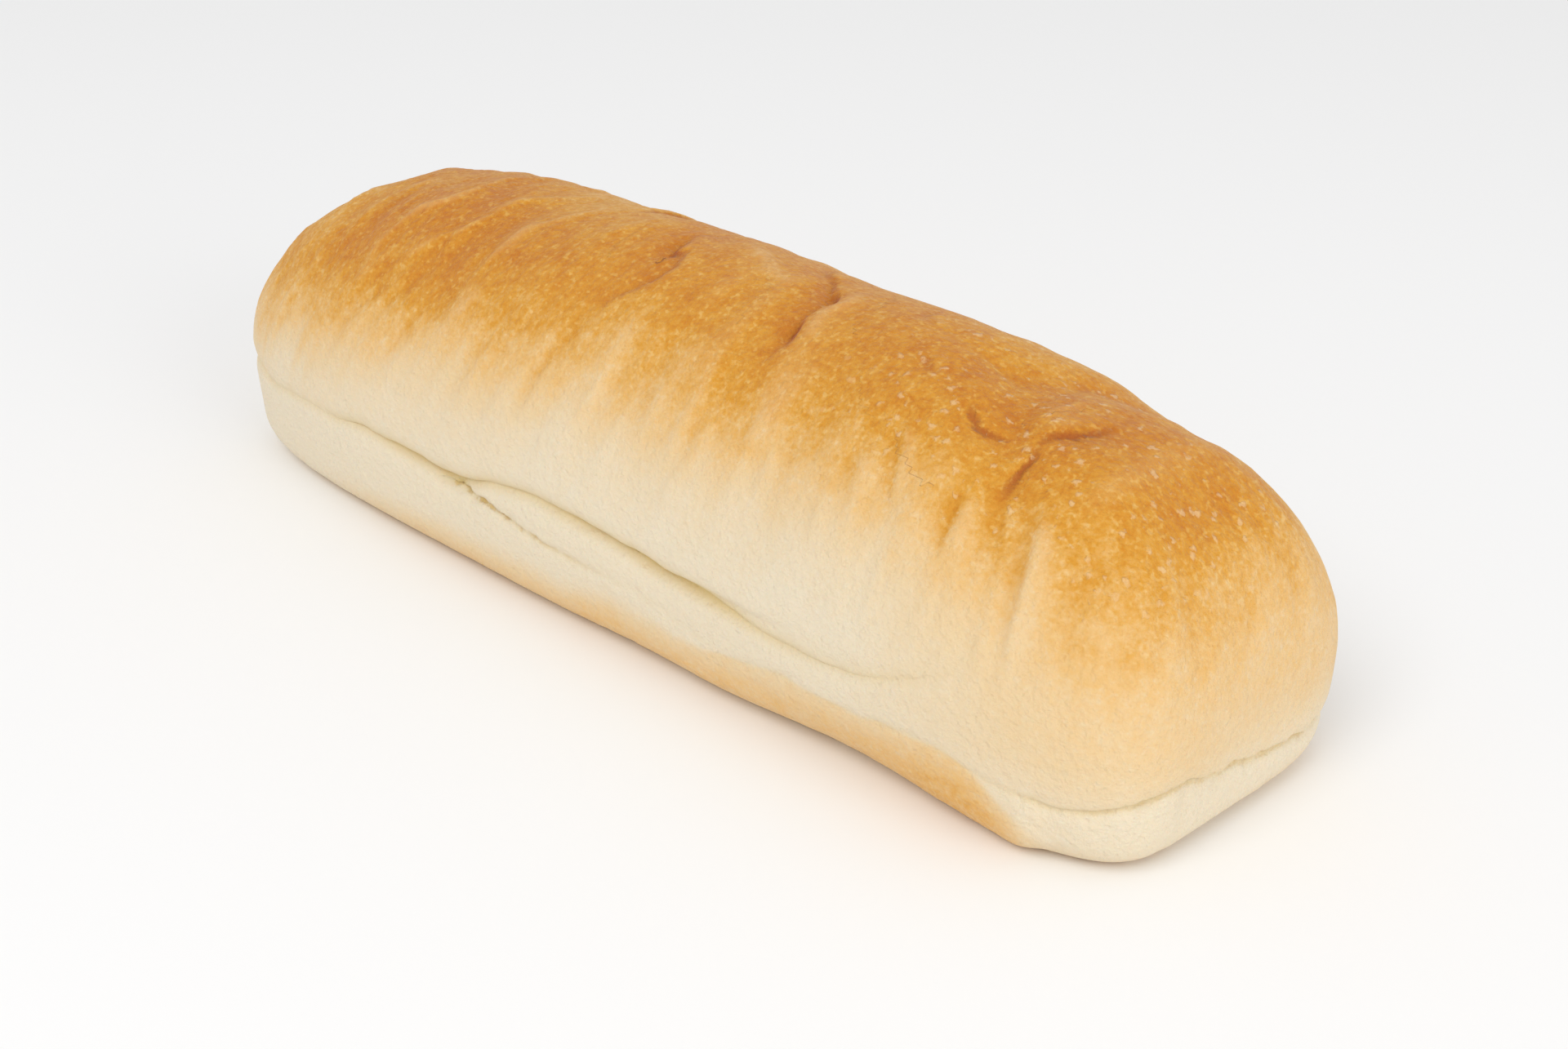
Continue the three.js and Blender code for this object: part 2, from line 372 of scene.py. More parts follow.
def seams(place):
    """The height, depth and sharpness of the upper and of the lower seam, and how torn it is there."""
    spot = np.stack([place, 0 * place, 0 * place], axis=1)
    torn = window(place, *TORN)
    rough = window(place, *ROUGH)
    ragged = RAGGED_LEAST + RAGGED_MORE * torn + RAGGED_MORE * rough
    wander = layered(spot, LOWER_WANDER) + ragged * layered(spot, RAGGED_WANDER)
    lower = round_roll(LOWER_SEAM, place, rounding=1.6) + wander
    upper = round_roll(UPPER_SEAM, place, rounding=2.2) + layered(spot, UPPER_WANDER)
    upper = np.maximum(upper, lower + LEAST_SEAM_SPACE)
    upper_depth = round_roll(UPPER_DEPTH, place, rounding=2.5) * (1 + layered(spot, UPPER_DEPTH_CHANGE))
    lower_depth = round_roll(LOWER_DEPTH, place, rounding=1.5) * (1 + layered(spot, LOWER_DEPTH_CHANGE))
    upper_cut = round_roll(UPPER_CUT, place) + layered(spot, UPPER_CUT_CHANGE)
    lower_cut = round_roll(LOWER_CUT, place) + layered(spot, LOWER_CUT_CHANGE)
    return (
        (upper, np.maximum(upper_depth, 0), np.clip(upper_cut, LEAST_CUT, 1)),
        (lower, np.maximum(lower_depth, 0), np.clip(lower_cut, LEAST_CUT, 1)),
        np.maximum(torn, ROUGH_TEAR * rough),
    )


def beside(gap, above, below):
    """The gap to a seam's line as a share of a reach above it, or of another below it."""
    return np.where(gap > 0, gap / above, -gap / below)


def crease(gap, above, below, cut):
    """How far a seam draws the surface in, gap above its line: 1 on it, 0 out of its reach.
    It is a sharp cut where cut is 1, and a soft valley where cut is 0."""
    t = np.clip(beside(gap, above, below), 0, 1)
    sharp = 1 - np.sqrt(1 - (1 - t) ** 2)
    soft = np.exp(-((t / VALLEY_WIDTH) ** 2)) * (1 - t)
    return cut * sharp + (1 - cut) * soft


def step_back(gap, cut):
    """How far the skin under a seam stands back, 0 to 1: at once where the seam is a cut."""
    blend = STEP_CUT + STEP_SOFT * (1 - cut)
    return smooth(blend, -blend, gap) * np.exp(np.minimum(gap, 0) / STEP_REACH)


def overhang(gap, reach):
    """How far the skin over a seam hangs down over it: 1 at most, at reach above its line."""
    t = np.clip(gap / reach, 0, HANG_END)
    return t * np.exp(1 - t)


def seam_form(gap, depth, cut, form):
    """How far a seam draws the surface in, and how far it lifts it."""
    drawn = crease(gap, form["above"], form["below"], cut)
    inward = depth * drawn + form["back"] * depth * step_back(gap, cut)
    lift = form["lift"] * drawn ** 2 - form["hang"] * overhang(gap, form["hang_at"])
    return inward, cut * depth * lift


def seam_painted_shade(gap, depth, painted_shade):
    """How much painted shade a seam's crease gets: most on its line."""
    shade = np.exp(-beside(gap, painted_shade["above"], painted_shade["below"]) ** SEAM_SHADE_POWER)
    return painted_shade["strength"] * depth * shade


def base_shape(u, v, level):
    """Every vertex of the roll, with its seams but without its finer relief, and its facts."""
    place = place_round(u, v)
    top = ridge_height(u)
    (upper, upper_depth, upper_cut), (lower, lower_depth, lower_cut), torn = seams(place)
    z, angle = height_and_angle(level, lower, upper, top)
    over_gap, under_gap = z - upper, z - lower
    upper_in, upper_lift = seam_form(over_gap, upper_depth, upper_cut, UPPER_FORM)
    lower_in, lower_lift = seam_form(under_gap, lower_depth, lower_cut, LOWER_FORM)
    # The seams' painted shade: a darker olive in their creases.
    painted_shade = seam_painted_shade(over_gap, upper_depth, UPPER_SEAM_SHADE) + seam_painted_shade(under_gap, lower_depth, LOWER_SEAM_SHADE)

    edge_x, edge_y = outline(u, v)
    ridge_x = RIDGE_HALF_LENGTH * u
    from_ridge = np.maximum(np.hypot(edge_x - ridge_x, edge_y), 1e-6)
    drawn = foot_inset(place, angle) + np.where(level > 0, upper_in + lower_in, 0)
    share = dome_reach(angle) - drawn / from_ridge
    x = ridge_x + share * (edge_x - ridge_x)
    y = share * edge_y
    z = z + np.where((level > 0) & (level <= 1), upper_lift + lower_lift, 0)

    on_base = level <= 0
    inner = np.clip(-level, 0, 1)
    x = np.where(on_base, x + (ridge_x - x) * inner, x)
    y = np.where(on_base, y * (1 - inner), y)
    z = np.where(on_base, 0, z)
    # The fact valley holds the seams' painted shade, which the crust shader mixes in.
    facts = {
        "base_x": x, "place": place, "angle": np.degrees(angle), "level": level,
        "torn": torn, "under_gap": under_gap, "valley": np.clip(painted_shade, 0, MOST_SEAM_SHADE),
    }
    return np.stack([x, y, z], axis=1), facts


# Folds in the crown, as points (x, y) seen from above: how much the skin stands up on the left of
# the line, or on its right if negative, how wide the fold is, and how deep and dark it is cut.
CROWN_FOLDS = [
    ([(-7, 4), (-7.3, -0.5), (-6.6, -3), (-6.2, -5.5), (-3.8, -4.6), (-2.6, -7.7), (-3.4, -11.8),
      (-6.1, -15.3), (-8.2, -18.2)], 0.5, 1.9, 0.4),
    ([(-7.2, 1), (-6.6, -3), (-6.2, -5.5), (-3.8, -4.6)], 0.25, 2.0, 0.85),
    ([(12, 12), (14, 9), (15.4, 6.5), (23.1, 0.4), (24, -0.5), (25.2, -2.8), (24.6, -8.1),
      (25.5, -10.5), (26.2, -12.6), (24.5, -16.5)], 0.7, 2.2, 0.45),
    ([(23, 0.5), (24.2, -1), (25, -4)], 0.3, 1.6, 1.0),
    ([(24.7, -8), (25.2, -10), (26, -12.6)], 0.3, 1.6, 1.0),
    ([(57.4, -9.8), (58.4, -11.1), (60.5, -11.9), (62.5, -11.8), (64.8, -10.6)], 0.3, 1.5, 0.7),
    ([(73, 1.5), (72.2, -1.9), (70.8, -4.3), (68.8, -7.7), (68.2, -10)], -0.6, 2.4, 0.8),
    ([(68.2, -9.4), (69.3, -11.2), (69.2, -13.7), (69.2, -17.3)], -0.4, 2.0, 0.8),
    ([(71.8, 17), (70.4, 14), (63.2, 8.8), (62.6, 2.9), (63.6, -1.5)], 0.35, 2.6, 0.15),
    ([(47, -6), (48.6, -8.4), (50.5, -8.8)], 0.25, 1.6, 0.3),
    ([(41, 12), (38, 6), (39.5, 0)], 0.4, 3.0, 0.2),
    ([(-24, 20), (-22, 14), (-25, 8), (-23, 4)], -0.5, 3.0, 0.5),
    ([(5, 24), (3, 17), (6, 12)], 0.5, 3.0, 0.4),
    ([(48, 24), (50, 16), (47, 10)], 0.5, 3.0, 0.4),
    ([(-58, 22), (-55, 14), (-57, 8)], 0.4, 3.0, 0.3),
]
# Crests in the crown: points, height and width.
CROWN_CRESTS = [
    ([(-52, 10), (-55.7, 1.6), (-54.8, -5.1), (-56.5, -8.9), (-59.7, -11.6), (-60.5, -14.5),
      (-61.8, -19.3), (-61.2, -25)], 0.75, 1.1),
    ([(-36, 9), (-39.7, 1.3), (-44.1, -3.1), (-44.7, -9.6), (-46.1, -12.7), (-48.8, -14.8),
      (-51.2, -17.3), (-53.2, -21)], 0.7, 1.1),
    ([(-27, 4), (-29.7, -2.8), (-32.4, -6.9), (-34.5, -9.3), (-34.6, -13.6), (-35.6, -17.5)],
     0.45, 1.1),
    ([(-68, 2), (-69, -5), (-71.5, -11), (-73, -17)], 0.4, 1.1),
    ([(-16, 6), (-17.5, -2), (-20, -8)], 0.3, 1.32),
    ([(26.4, 2.5), (28, -2), (27.2, -7), (28.2, -11)], 0.5, 0.99),
    ([(30, 6), (36, 1), (40, -6)], 0.35, 1.43),
    ([(-2, 5), (5, 3), (11, -1), (17, -2.5)], 0.55, 1.1),
    ([(66.5, 4), (66.2, -3), (65.8, -8)], 0.55, 1.54),
]
CREST_POWER = 1.3
# How the lines of both wobble, and the heights over which they come in.
CROWN_WOBBLE = [(0.45, 3.5, 21), (0.2, 1.5, 22)]
CROWN_START = (24, 34)
# How narrow the step of a fold is, how far the skin sinks along it as a share of its rise, and how
# deep and wide a full cut is.
FOLD_EDGE = 0.55
FOLD_SINK = 0.35
CUT_DEPTH = 0.5
CUT_WIDTH = 1.0
# A full cut counts as this much nearer than it is, so that it wins over a weak one.
CUT_PULL = 0.5
# The distance that stands for no cut nearby.
NO_CUT_NEAR = 9.0

# Folds up the side: points as the share along the front and the angle up the dome in degrees, with
# how much the skin stands up on the near side of each.
SIDE_FOLDS = [
    ([(0.625, 58), (0.617, 37)], 0.5),
    ([(0.756, 50), (0.738, 42), (0.715, 33)], 0.6),
    ([(0.931, 55), (0.903, 42), (0.873, 30), (0.86, 21)], 0.6),
    ([(0.849, 56), (0.833, 44)], 0.4),
    ([(0.372, 43), (0.355, 30)], 0.45),
    ([(0.484, 36), (0.476, 26)], 0.35),
    ([(0.336, 50), (0.317, 39)], 0.35),
    ([(0.23, 42), (0.21, 28)], 0.3),
    ([(0.12, 46), (0.10, 30)], 0.3),
    ([(-0.01, 44), (-0.03, 27)], 0.35),
    ([(-0.12, 40), (-0.15, 24)], 0.3),
    ([(-0.27, 38), (-0.30, 20)], 0.3),
    ([(-0.45, 34), (-0.48, 20)], 0.25),
    ([(-0.62, 36), (-0.66, 18)], 0.25),
    ([(0.55, 50), (0.54, 34)], 0.3),
]
SIDE_WOBBLE = [(0.4, 5, 23), (0.2, 2, 24)]
SIDE_FOLD_WIDTH = 2.3
SIDE_FOLD_EDGE = 0.7
# The length up the side for each degree up the dome.
MM_PER_DEGREE = 0.6
# A shallow line above the upper seam, as (place, height), with its depth, width and roundness.
SIDE_CREASE = [(front(0.22), 18.9), (front(0.3), 19.2), (front(0.4), 19.6), (front(0.47), 20.4)]
SIDE_CREASE_DEPTH = 0.7
SIDE_CREASE_WIDTH = 1.1
SIDE_CREASE_POWER = 1.4


def to_line(x, y, line):
    """Signed distance to a line of points, positive on its left, and how far along it that is."""
    best = np.full(len(x), 1e9)
    signed = np.full(len(x), 1e9)
    along = np.zeros(len(x))
    start = 0.0
    for (ax, ay), (bx, by) in zip(line, line[1:]):
        length = math.dist((ax, ay), (bx, by))
        dx, dy = (bx - ax) / length, (by - ay) / length
        t = np.clip((x - ax) * dx + (y - ay) * dy, 0, length)
        gap_x, gap_y = x - ax - t * dx, y - ay - t * dy
        gap = np.hypot(gap_x, gap_y)
        nearer = gap < best
        best = np.where(nearer, gap, best)
        signed = np.where(nearer, np.copysign(gap, dx * gap_y - dy * gap_x), signed)
        along = np.where(nearer, start + t, along)
        start += length
    return signed, along / start


def fade_out(along):
    """1 along most of a line, and 0 at its ends."""
    return np.clip(np.sin(math.pi * np.clip(along, 0, 1)), 0, 1) ** 0.6


def fold(gap, width, edge):
    """Skin that swells up to a line from its left, drops steeply there, and comes back."""
    return np.tanh(gap / edge) * np.exp(-np.abs(gap) / width)


def crown_relief(points):
    """The crown's folds and crests, with the distance to the nearest cut and its strength."""
    x, y = points[:, 0], points[:, 1]
    wobble = layered(points, CROWN_WOBBLE)
    on_crown = smooth(*CROWN_START, points[:, 2])
    relief = np.zeros(len(points))
    nearest = np.full(len(points), NO_CUT_NEAR)
    strength = np.zeros(len(points))
    for line, rise, width, cut in CROWN_FOLDS:
        gap, along = to_line(x, y, line)
        gap = gap + wobble
        fade = fade_out(along) * on_crown
        sink = FOLD_SINK * abs(rise) * np.exp(-((gap / width) ** 2))
        relief += fade * (rise * fold(gap, width, FOLD_EDGE) - sink)
        relief -= CUT_DEPTH * cut * fade * np.exp(-((gap / CUT_WIDTH) ** 2))
        nearer = np.abs(gap) - CUT_PULL * fade * cut < np.abs(nearest) - CUT_PULL * strength
        nearest = np.where(nearer, gap, nearest)
        strength = np.where(nearer, cut * fade, strength)
    for line, rise, width in CROWN_CRESTS:
        gap, along = to_line(x, y, line)
        crest = np.exp(-np.abs((gap + wobble) / width) ** CREST_POWER)
        relief += rise * fade_out(along) * on_crown * crest
    return relief, nearest, strength


def side_relief(points, facts):
    """The folds that run up the side, and the shallow line above the upper seam."""
    across, up = facts["place"], MM_PER_DEGREE * facts["angle"]
    wobble = layered(points, SIDE_WOBBLE)
    relief = np.zeros(len(points))
    for line, rise in SIDE_FOLDS:
        line = [(front(share), MM_PER_DEGREE * angle) for share, angle in line]
        gap, along = to_line(across, up, line)
        relief += rise * fade_out(along) * fold(gap - wobble, SIDE_FOLD_WIDTH, SIDE_FOLD_EDGE)
    gap, along = to_line(across, points[:, 2], SIDE_CREASE)
    valley = np.exp(-np.abs(gap / SIDE_CREASE_WIDTH) ** SIDE_CREASE_POWER)
    return relief - SIDE_CREASE_DEPTH * fade_out(along) * valley


# Random relief, in layers of noise.
LUMPS = [(0.45, 34, 62), (0.25, 14, 68)]
CROWN_WAVES = [(0.34, (8, 22, 22), 33), (0.2, (4, 11, 11), 34)]
WRINKLES = [(0.14, (5, 14, 14), 41), (0.12, (2.4, 7, 7), 42)]
PLEATS = [(0.3, (7, 34, 9), 35), (0.2, (3, 15, 9), 36), (0.1, (1.7, 8, 9), 37)]
SKIN = [(0.05, 1.8, 37)]
# How far pleats lean towards the near end for each mm that they go up the front.
PLEAT_LEAN = 0.35
# The heights over which the lumps, and all relief, come in.
LUMPS_START = (0, 12)
RELIEF_START = (0, 3)
# The angles over which the crown's waves come in, and the pleats come and go.
WAVES_START = (20, 55)
PLEATS_ANGLES = ((8, 24), (62, 40))
# The x over which wrinkles come in towards the far end, and blisters towards the near end.
WRINKLES_START = (20, -45)
BLISTERS_START = (25, 55)
# How much more the side folds count for the colour than for the relief: they paint a highlight on
# each fold's crest and shade in its trough.
SIDE_FOLD_PAINTED_LIGHT = 2

# Crumbs and pits along the tear, and how far they reach above and below it.
TEAR_REACH = 1.1
CRUMBS = [(0.3, 1.0, 38)]
PITS = [(1.0, 1.7, 39)]
PIT_EDGE = (0.1, 0.5)
PIT_DEPTH = 0.5

# The near end, as soft edges for window(). The lip under its seam has upright dents, which come in
# over these gaps to the seam and over these heights.
NEAR_END = ((near_end(-1.1), near_end(-0.8)), (back(0.8), near_end(0.95)))
DENTS = [(1.0, (2.4, 14, 9), 40)]
DENT_EDGE = (0.2, 0.8)
DENT_DEPTH = 0.4
DENT_GAPS = (0.3, -0.6)
DENT_HEIGHTS = (1, 4)


def side_spot(points, facts, lean=0.0):
    """Coordinates in which the skin of the side is unrolled flat: place, leaning with height."""
    z = points[:, 2]
    return np.stack([facts["place"] - lean * z, z, 0 * z], axis=1)


def tear_relief(points, facts):
    """The crumbs and pits along the torn line."""
    near_tear = facts["torn"] * np.exp(-((facts["under_gap"] / TEAR_REACH) ** 2))
    pits = smooth(*PIT_EDGE, layered(points, PITS))
    return near_tear * (layered(points, CRUMBS) - PIT_DEPTH * pits)


def lip_dents(points, facts):
    """The upright dents in the lip at the near end."""
    dents = smooth(*DENT_EDGE, layered(side_spot(points, facts), DENTS))
    on_lip = window(facts["place"], *NEAR_END) * smooth(*DENT_GAPS, facts["under_gap"])
    return DENT_DEPTH * dents * on_lip * smooth(*DENT_HEIGHTS, points[:, 2])


def relief(points, facts):
    """How far each vertex stands out of the base shape, in mm. It adds to the facts how far the
    folds raise each vertex, and how far away and how strong the nearest cut is."""
    height, angle = points[:, 2], facts["angle"]
    waves = layered(points, CROWN_WAVES)
    waves += smooth(*WRINKLES_START, facts["base_x"]) * layered(points, WRINKLES, ridges)
    pleats = layered(side_spot(points, facts, PLEAT_LEAN), PLEATS)
    folds, facts["crease_gap"], facts["crease_strength"] = crown_relief(points)
    side_folds = side_relief(points, facts)
    shape = smooth(*WAVES_START, angle) * waves + window(angle, *PLEATS_ANGLES) * pleats + folds
    # raised drives the painted highlights on crests and the painted shade in hollows.
    facts["raised"] = shape + SIDE_FOLD_PAINTED_LIGHT * side_folds
    out = layered(points, LUMPS) * smooth(*LUMPS_START, height) + shape + side_folds
    out += layered(points, SKIN) + tear_relief(points, facts) - lip_dents(points, facts)
    return np.where(facts["level"] > 0, out * smooth(*RELIEF_START, height), 0)


# Bake levels: 0 is pale dough, 0.8 the brown of the crown, and 1 the darkest of its grain. They
# rise with the angle in degrees, in one way along the sides and in another round the near end;
# END_SHARE says how much of the second holds at a place. HEAT_SHIFT says how many degrees further
# down the browning reaches there.
SIDE_HEAT = [
    (10, 0.0), (24, 0.08), (32, 0.2), (40, 0.35), (50, 0.54), (60, 0.7), (72, 0.77), (90, 0.79),
]
END_HEAT = [
    (-25, 0.05), (-10, 0.14), (0, 0.2), (16, 0.28), (24, 0.34), (32, 0.43), (40, 0.55),
    (50, 0.69), (60, 0.78), (72, 0.82), (90, 0.82),
]
END_SHARE = [
    (front(0.55), 0.0), (front(0.7), 0.35), (front(0.9), 0.7), (near_end(-0.83), 0.9),
    (near_end(-0.5), 1.0), (near_end(0.8), 1.0), (back(0.9), 0.6), (back(0.6), 0.0),
]
HEAT_SHIFT = [
    (front(-1.0), 20), (front(-0.9), 17), (front(-0.7), 15), (front(-0.5), 9), (front(-0.3), 6),
    (front(-0.1), 1), (front(0.3), 0), (front(0.5), -2), (front(0.9), -1), (near_end(-0.5), 0),
    (near_end(0.2), 4), (near_end(0.9), 3), (back(0.5), 1), (back(0.0), 0), (back(-0.6), 8),
    (far_end(0.6), 18), (far_end(-0.6), 21),
]
# The browned band at the foot: its level, and the height of its top.
BAND_LEVEL = [
    (front(-0.75), 0.02), (front(-0.55), 0.16), (front(-0.35), 0.26), (front(0.1), 0.3),
    (front(0.55), 0.28), (front(0.68), 0.37), (front(0.74), 0.44), (front(0.8), 0.58),
    (front(0.87), 0.36), (near_end(-0.95), 0.1), (near_end(-0.3), 0.1), (near_end(0.3), 0.14),
    (near_end(1.0), 0.3), (back(0.5), 0.44), (back(-0.6), 0.36), (far_end(0.6), 0.2),
    (far_end(-0.8), 0.05),
]
BAND_TOP = [
    (front(-0.8), 4.0), (front(-0.47), 7.0), (front(-0.31), 7.5), (front(-0.16), 8.2),
    (front(-0.05), 7.9), (front(0.07), 10.0), (front(0.2), 9.5), (front(0.31), 10.2),
    (front(0.35), 10.8), (front(0.44), 12.7), (front(0.53), 11.9), (front(0.66), 13.2),
    (front(0.75), 13.0), (front(0.81), 11.4), (front(0.87), 9.0), (front(0.95), 5.0),
    (near_end(-0.5), 3.0), (near_end(0.4), 4.0), (back(0.9), 8.0), (back(0.4), 11.0),
    (back(-0.4), 8.0), (far_end(0.6), 5.0), (far_end(-0.6), 3.0),
]
BAND_TOP_WANDER = [(0.4, 5, 56)]
# Half the width of the band's top edge, and how much more it is on two stretches: along the far
# part of the front, and from the near corner on.
BAND_EDGE = 0.6
FAR_EDGE = (2.0, (front(0.3), front(0.1)))
NEAR_EDGE = (1.8, (front(0.8), near_end(-0.9)))
# The band is faintest at its top, as a share of its level, and full this far below it.
BAND_FAINTEST = 0.55
BAND_FADE = 6
UNDERSIDE_LEVEL = 0.5
# Places of the crown that are browner, or paler, than the rest: x, y, how far round, how much; and
# the heights over which they come in.
CROWN_SPOTS = [
    (-57, -7, 12, 0.1), (-34, -11, 9, 0.08), (-33, 8, 14, -0.18), (-82, -14, 10, -0.2),
    (14, 7, 5, 0.06), (20, -14, 12, 0.04), (50, -6, 9, 0.06), (70, 0, 15, 0.08),
    (55, 10, 8, -0.15), (78, -18, 12, -0.08),
]
SPOTS_START = (20, 30)
# Streaks shift the browning up and down the side, in degrees. They fade out up the dome, and are
# weaker round the near end.
STREAKS = [(2.6, (6.5, 30, 9), 51), (3.0, (2.6, 14, 9), 52)]
STREAKS_END = (68, 44)
STREAKS_LOST_AT_END = 0.6
# The lip under the near end's seam is paler: by what share, and the gaps to the seam over which it
# becomes so.
LIP_PALER = 0.7
LIP_GAPS = (0.6, -0.6)
# The brown skin is mottled, and over these levels it becomes so.
MOTTLE = [(0.05, 16, 53), (0.04, 5, 54), (0.03, 2.2, 55)]
MOTTLE_LEVELS = (0.05, 0.4)
# Painted highlight and shade: raised skin is a little paler and hollows are browner, for each mm
# and up to these limits, and over these levels it becomes so.
RAISED_PAINTED_LIGHT = 0.15
PAINTED_LIGHT_LIMITS = (-0.7, 0.9)
PAINTED_LIGHT_LEVELS = (0.1, 0.5)


def heat_level(points, facts):
    """The browning from above, which falls off down the side."""
    place = facts["place"]
    at_end = round_roll(END_SHARE, place, rounding=6.0)
    streaks = layered(side_spot(points, facts, PLEAT_LEAN), STREAKS)
    streaks = streaks * smooth(*STREAKS_END, facts["angle"]) * (1 - STREAKS_LOST_AT_END * at_end)
    angle = facts["angle"] + round_roll(HEAT_SHIFT, place, rounding=6.0) + streaks
    along_side = np.interp(angle, *zip(*SIDE_HEAT))
    round_end = np.interp(angle, *zip(*END_HEAT))
    on_lip = smooth(*LIP_GAPS, facts["under_gap"]) * window(place, *NEAR_END)
    return ((1 - at_end) * along_side + at_end * round_end) * (1 - LIP_PALER * on_lip)


def band_level(points, facts):
    """The browned band at the foot."""
    place, z = facts["place"], points[:, 2]
    wander = layered(side_spot(points, facts, PLEAT_LEAN), BAND_TOP_WANDER)
    top = round_roll(BAND_TOP, place, rounding=2.5) + wander
    edge = BAND_EDGE
    for more, stretch in (FAR_EDGE, NEAR_EDGE):
        edge = edge + more * smooth(*stretch, place)
    band = round_roll(BAND_LEVEL, place, rounding=5.0) * smooth(top + edge, top - edge, z)
    return band * (BAND_FAINTEST + (1 - BAND_FAINTEST) * smooth(top, top - BAND_FADE, z))


def bake_level(points, facts):
    """How far each vertex is baked."""
    level = np.maximum(heat_level(points, facts), band_level(points, facts))
    level = np.where(facts["level"] <= 0, UNDERSIDE_LEVEL, level)
    for x, y, spread, more in CROWN_SPOTS:
        away = ((points[:, 0] - x) ** 2 + (points[:, 1] - y) ** 2) / spread ** 2
        level = level + more * np.exp(-away) * smooth(*SPOTS_START, points[:, 2])
    # Painted highlight on raised skin and painted shade in hollows.
    raised = np.clip(facts["raised"], *PAINTED_LIGHT_LIMITS)
    level = level - RAISED_PAINTED_LIGHT * raised * smooth(*PAINTED_LIGHT_LEVELS, level)
    return level + layered(points, MOTTLE) * smooth(*MOTTLE_LEVELS, level)


def normals_of(points, quads):
    across = points[quads[:, 2]] - points[quads[:, 0]]
    other = points[quads[:, 3]] - points[quads[:, 1]]
    facing = np.cross(across, other)
    total = np.zeros_like(points)
    for corner in range(4):
        np.add.at(total, quads[:, corner], facing)
    return total / np.maximum(np.linalg.norm(total, axis=1, keepdims=True), 1e-12)


def make_mesh(points, quads, attributes):
    mesh = bpy.data.meshes.new("submarine_roll_skin")
    mesh.vertices.add(len(points))
    mesh.vertices.foreach_set("co", (points * MM).ravel())
    mesh.loops.add(quads.size)
    mesh.loops.foreach_set("vertex_index", quads.ravel())
    mesh.polygons.add(len(quads))
    mesh.polygons.foreach_set("loop_start", np.arange(0, quads.size, 4))
    mesh.polygons.foreach_set("use_smooth", np.ones(len(quads), bool))
    mesh.update(calc_edges=True)
    mesh.validate()
    for name, values in attributes.items():
        attribute = mesh.attributes.new(name, "FLOAT", "POINT")
        attribute.data.foreach_set("value", values.astype(np.float32))
    return mesh


def make_roll():
    u, v, level, quads = block()
    points, facts = base_shape(u, v, level)
    normals = normals_of(points, quads)
    points = points + normals * relief(points, facts)[:, None]
    points[:, 2] = np.maximum(points[:, 2], 0)
    # valley is the seams' painted shade.
    shown = ("crease_gap", "crease_strength", "raised", "torn", "under_gap", "valley")
    attributes = {name: facts[name] for name in shown}
    attributes["bake"] = bake_level(points, facts)
    attributes["blistered"] = smooth(*BLISTERS_START, facts["base_x"])
    roll = bpy.data.objects.new("submarine_roll_crust", make_mesh(points, quads, attributes))
    bpy.context.scene.collection.objects.link(roll)
    roll.data.materials.append(crust_material())
    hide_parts(NODE)
    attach(roll, "root")


def from_screen(red, green, blue):
    """Linear colour from the 0 to 255 values of a screen."""
    channels = [c / 255 for c in (red, green, blue)]
    return [c / 12.92 if c <= 0.04045 else ((c + 0.055) / 1.055) ** 2.4 for c in channels] + [1.0]


# Crust colours by bake level, and the colours of marks on the crust, with painted highlights on
# crests, painted shade in hollows, cuts and the seams' creases, and crumb colour with painted shade
# in the tear.
CRUST_COLOURS = [
    (0.00, from_screen(234, 220, 193)),
    (0.16, from_screen(233, 206, 162)),
    (0.32, from_screen(232, 190, 126)),
    (0.48, from_screen(226, 172, 88)),
    (0.64, from_screen(218, 154, 48)),
    (0.80, from_screen(210, 138, 28)),
    (1.00, from_screen(198, 118, 16)),
]
SPECK_COLOUR = from_screen(238, 196, 112)
# Painted highlight on crests, and painted shade in hollows.
CREST_HIGHLIGHT_COLOUR = from_screen(222, 168, 110)
HOLLOW_SHADE_COLOUR = from_screen(206, 134, 36)
# Painted shade in the cuts of the crown's folds.
CUT_SHADE_COLOUR = from_screen(160, 74, 20)
BLISTER_COLOUR = from_screen(240, 206, 158)
# Browner crumb and painted shade in the torn line.
TEAR_CRUMB_AND_SHADE_COLOUR = from_screen(204, 164, 82)
# Painted shade in the seams' creases, a darker olive.
SEAM_SHADE_COLOUR = from_screen(220, 192, 122)

# Patterns in the crust, as noise with so many bumps in a mm.
GRAIN = {"scale": 1.4, "detail": 2.0, "roughness": 0.6}
MOTTLING = {"scale": 0.62, "detail": 2.0, "roughness": 0.6}
PATCHES = {"scale": 0.22, "detail": 3.0, "roughness": 0.6}
SPECKS = {"scale": 1.1, "detail": 1.0}
RAGGEDNESS = {"scale": 1.3, "detail": 3.0}
TEAR_BREAKS = {"scale": 0.5, "detail": 3.0}
PORES = {"scale": 2.4, "detail": 3.0, "roughness": 0.65}
LEATHER = {"scale": 0.9, "detail": 2.0}

# Each pattern's shift of the bake level, the grain's for the mottling too: the level where it
# starts to grow, where it is full, and its strength at both. The painted highlight on crests and
# the painted shade in hollows have one amount each.
GRAIN_SHIFT = (0.1, 0.75, 0.05, 0.5)
PATCHES_SHIFT = (0.1, 0.6, 0.03, 0.34)
SPECKS_SHIFT = (0.1, 0.7, -0.03, -0.12)
CREST_HIGHLIGHT_SHIFT = -0.08
HOLLOW_SHADE_SHIFT = 0.06

# Soft edges, as where each is 0 and where it is 1: bake levels, how far the skin is raised, noise
# values and distances in mm.
BROWNED = (0.25, 0.65)
DOUGHY = (0.4, 0.1)
CREST_HIGHLIGHT_EDGE = (0.1, 0.7)
HOLLOW_SHADE_EDGE = (-0.05, -0.55)
SPECKS_EDGE = (0.56, 0.74)
CUT_EDGE = (0.85, 0.05)
TEAR_EDGE = (0.7, 0.1)
TEAR_BREAKS_EDGE = (0.36, 0.56)

